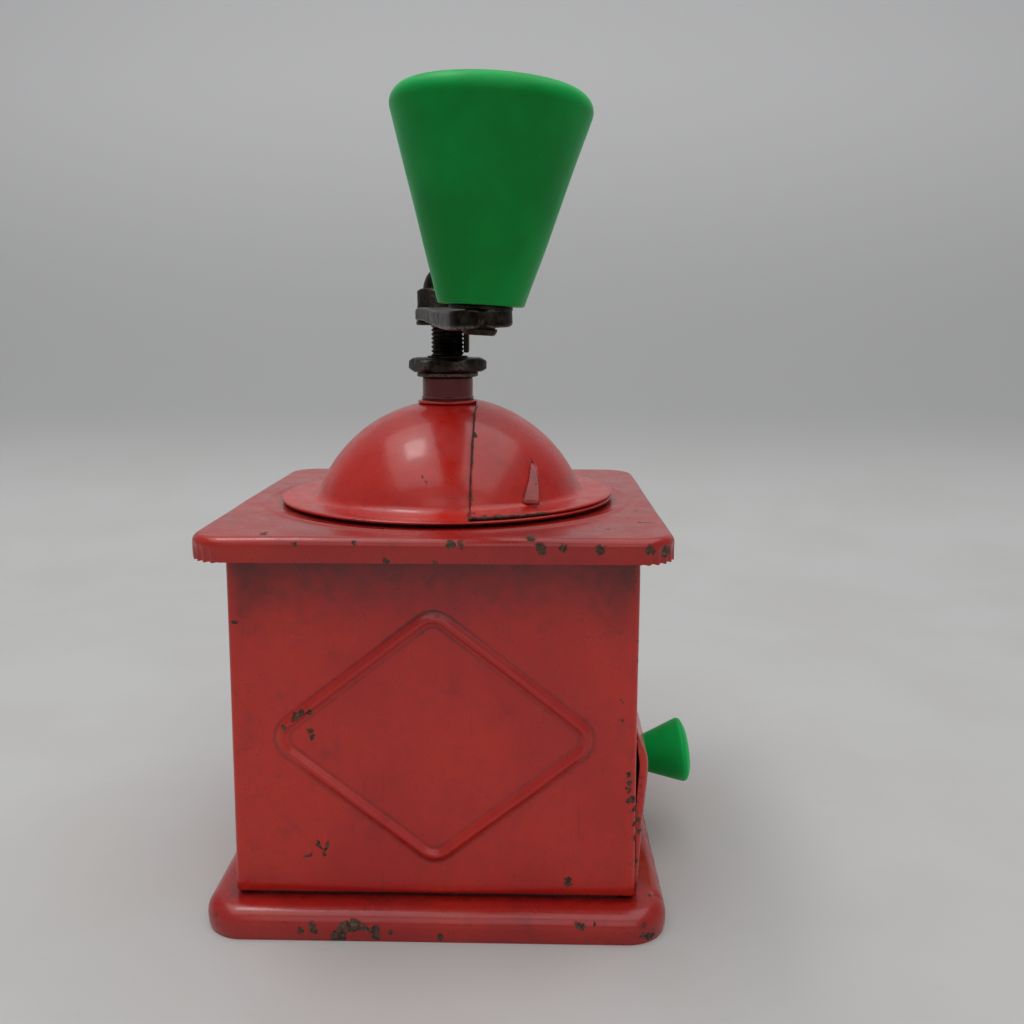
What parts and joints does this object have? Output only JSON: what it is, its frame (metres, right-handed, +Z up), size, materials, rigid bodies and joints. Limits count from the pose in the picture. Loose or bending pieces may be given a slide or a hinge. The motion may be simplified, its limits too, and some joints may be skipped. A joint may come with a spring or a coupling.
{
  "type": "hand crank coffee grinder",
  "caption": "Square sheet metal box coffee mill with a domed hopper and swivel door, cranked cone burrs under the top plate, and a drawer for the grounds.",
  "frame": {"origin": "on the spindle axis, at the underside of the base", "axes": "+Z up along the spindle, +X towards the drawer, -Y towards the crank knob at rest"},
  "size_m": [0.1105, 0.1476, 0.1667],
  "materials": {
    "red_enamel": "gloss enamel, chipped and worn",
    "green_plastic": "semi-gloss moulded",
    "worn_steel": "dull, darkened and lightly rusted",
    "cast_iron": "rough cast, oiled",
    "bright_steel": "zinc plated, satin",
    "tinplate": "tinned sheet, satin"
  },
  "bodies": {
    "housing": {"base_pan": "red_enamel", "bottom_plate": "tinplate", "body_shell": "red_enamel", "top_plate": "red_enamel", "hopper_dome": "red_enamel", "neck_tube": "red_enamel", "mill_frame": "cast_iron", "frame_screws": "bright_steel", "outer_burr": "cast_iron", "burr_spring": "bright_steel", "drawer_guide_near": "tinplate", "drawer_guide_far": "tinplate"},
    "spring_seat": {"spring_washer": "bright_steel"},
    "crank": {"spindle": "worn_steel", "tab_washer": "worn_steel", "crank_arm": "worn_steel", "cap_nut": "worn_steel", "knob_pin": "worn_steel", "knob_washer": "worn_steel", "inner_burr": "cast_iron", "burr_pin": "bright_steel"},
    "knob": {"crank_knob": "green_plastic"},
    "nut_washer": {"neck_washer": "worn_steel"},
    "nut": {"adjusting_nut": "worn_steel"},
    "door": {"dome_door": "red_enamel"},
    "drawer": {"drawer_box": "tinplate", "drawer_front": "red_enamel", "drawer_knob": "green_plastic", "drawer_screw": "bright_steel"}
  },
  "joints": [
    {"name": "grind_lift", "type": "slide", "parent": "housing", "child": "spring_seat", "axis": [0, 0, 1], "range_m": [-0.0005, 0.0005], "deforming": ["burr_spring"]},
    {"name": "crank_turn", "type": "hinge", "parent": "spring_seat", "child": "crank", "pos_m": [0, 0, 0.1], "axis": [0, 0, 1], "continuous": true},
    {"name": "washer_seat", "type": "slide", "parent": "crank", "child": "nut_washer", "axis": [0, 0, 1], "range_m": [-0.0005, 0.0005]},
    {"name": "nut_turn", "type": "hinge", "parent": "nut_washer", "child": "nut", "pos_m": [0, 0, 0.119], "axis": [0, 0, 1], "range_deg": [-180, 180]},
    {"name": "knob_spin", "type": "hinge", "parent": "crank", "child": "knob", "pos_m": [0.01184, -0.08215, 0.12925], "axis": [0.0553, 0.008, 0.9984], "continuous": true},
    {"name": "door_turn", "type": "hinge", "parent": "housing", "child": "door", "pos_m": [0, 0, 0.1], "axis": [0, 0, -1], "range_deg": [0, 150]},
    {"name": "drawer_slide", "type": "slide", "parent": "housing", "child": "drawer", "axis": [1, 0, 0], "range_m": [0, 0.07]}
  ],
  "couplings": [
    {"joint": "nut_turn", "follows": "grind_lift", "rad_per_m": -6283.2},
    {"joint": "washer_seat", "follows": "grind_lift", "ratio": -1}
  ]
}
